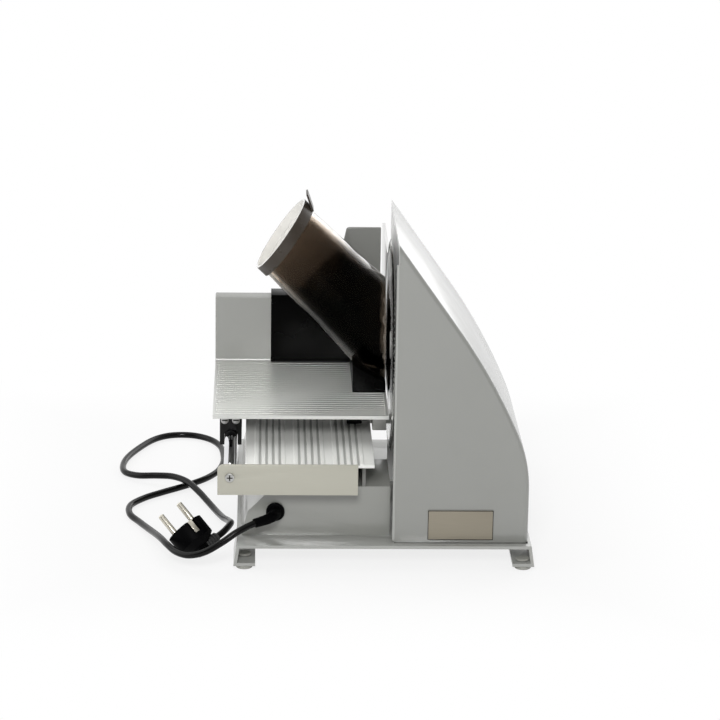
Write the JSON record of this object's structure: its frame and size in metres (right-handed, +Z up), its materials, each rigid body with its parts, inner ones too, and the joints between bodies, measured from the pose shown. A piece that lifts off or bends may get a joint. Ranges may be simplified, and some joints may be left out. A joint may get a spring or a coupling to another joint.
{
  "type": "electric food slicer",
  "caption": "Electric food slicer with a round blade, sail-shaped motor housing, sliding carriage on a rod, slanted feed tube with pusher, thickness knob and mains cord.",
  "frame": {"origin": "on the table, under the middle of the footprint of the slicer without its cord", "axes": "+Z up, +X from the carriage to the motor along the blade spindle, +Y to the user's side, where the knob and switch are"},
  "size_m": [0.3332, 0.3419, 0.263],
  "materials": {
    "grey_paint": "satin grey enamel",
    "silver": "satin silver",
    "guard_grey": "satin dark grey",
    "warm_aluminium": "satin, slightly warm",
    "steel": "bright zinc",
    "dark_steel": "dark",
    "blade_steel": "ground and polished",
    "chrome": "polished",
    "brass": "turned",
    "ivory_plastic": "moulded",
    "black_plastic": "moulded",
    "gloss_black": "polished mould",
    "green_plastic": "moulded",
    "smoky_plastic": "clear, smoke tinted",
    "black_rubber": "moulded",
    "cord_rubber": "smooth sheath",
    "grey_rubber": "moulded"
  },
  "bodies": {
    "base": {"base_plate": "grey_paint", "rubber_feet": "grey_rubber", "base_screws": "steel", "motor_housing": "grey_paint", "name_plate": "warm_aluminium", "bearing_plate": "steel", "spindle_bearings": "chrome", "gear_bracket": "steel", "worm_bush": "brass", "motor_can": "dark_steel", "motor_stator": "dark_steel", "motor_clamp": "steel", "motor_capacitor": "silver", "terminal_block": "ivory_plastic", "switch_body": "black_plastic", "lower_housing": "grey_paint", "carriage_bed": "silver", "bed_rear_plate": "warm_aluminium", "bed_front_plate": "warm_aluminium", "guide_rod": "chrome", "rod_screws": "steel", "stop_guide_rods": "chrome", "knob_bracket": "steel", "cord_gland": "black_rubber", "cord_boot": "black_rubber", "power_cord": "cord_rubber", "plug_body": "black_rubber", "plug_relief": "grey_rubber", "plug_pins": "chrome", "plug_earth_clips": "chrome"},
    "blade_set": {"blade": "blade_steel", "blade_screw": "steel", "blade_spindle": "steel", "drive_gear": "ivory_plastic", "spindle_nut": "steel"},
    "rotor": {"motor_rotor": "dark_steel", "rotor_shaft": "steel", "worm": "brass", "cooling_fan": "black_plastic"},
    "carriage": {"carriage_plate": "silver", "carriage_wall": "grey_paint", "thumb_guard": "guard_grey", "carriage_rail": "silver", "carriage_shoes": "black_plastic", "shoe_screws": "steel", "carriage_glides": "black_plastic"},
    "feed_attachment": {"feed_holder": "gloss_black", "feed_tube": "smoky_plastic"},
    "feed_pusher": {"pusher": "smoky_plastic"},
    "stop_set": {"stop_plate": "silver", "stop_slider": "steel", "stop_screws": "steel"},
    "knob_set": {"thickness_knob": "black_plastic", "knob_shaft": "steel", "knob_pinion": "brass"},
    "rocker": {"switch_rocker": "green_plastic"}
  },
  "joints": [
    {"name": "rotor_spin", "type": "hinge", "parent": "base", "child": "rotor", "pos_m": [0.05425, -0.0275, 0.113], "axis": [0, 1, 0], "continuous": true},
    {"name": "blade_spin", "type": "hinge", "parent": "base", "child": "blade_set", "pos_m": [0.01425, -0.0275, 0.15], "axis": [1, 0, 0], "continuous": true},
    {"name": "carriage_slide", "type": "slide", "parent": "base", "child": "carriage", "axis": [0, 1, 0], "range_m": [-0.09, 0.07]},
    {"name": "attachment_lift", "type": "slide", "parent": "carriage", "child": "feed_attachment", "axis": [0, 0, 1], "range_m": [0, 0.16]},
    {"name": "pusher_slide", "type": "slide", "parent": "feed_attachment", "child": "feed_pusher", "axis": [-0.7132, 0, 0.7009], "range_m": [0, 0.09]},
    {"name": "knob_turn", "type": "hinge", "parent": "base", "child": "knob_set", "pos_m": [-0.03975, 0.1205, 0.04065], "axis": [0, 1, 0], "range_deg": [0, 255]},
    {"name": "stop_slide", "type": "slide", "parent": "base", "child": "stop_set", "axis": [1, 0, 0], "range_m": [0, 0.02]},
    {"name": "rocker_tilt", "type": "hinge", "parent": "base", "child": "rocker", "pos_m": [0.06625, 0.0145, 0.066], "axis": [1, 0, 0], "range_deg": [0, 20]}
  ],
  "couplings": [
    {"joint": "blade_spin", "follows": "rotor_spin", "ratio": -0.025},
    {"joint": "knob_turn", "follows": "stop_slide", "rad_per_m": 222.22}
  ]
}
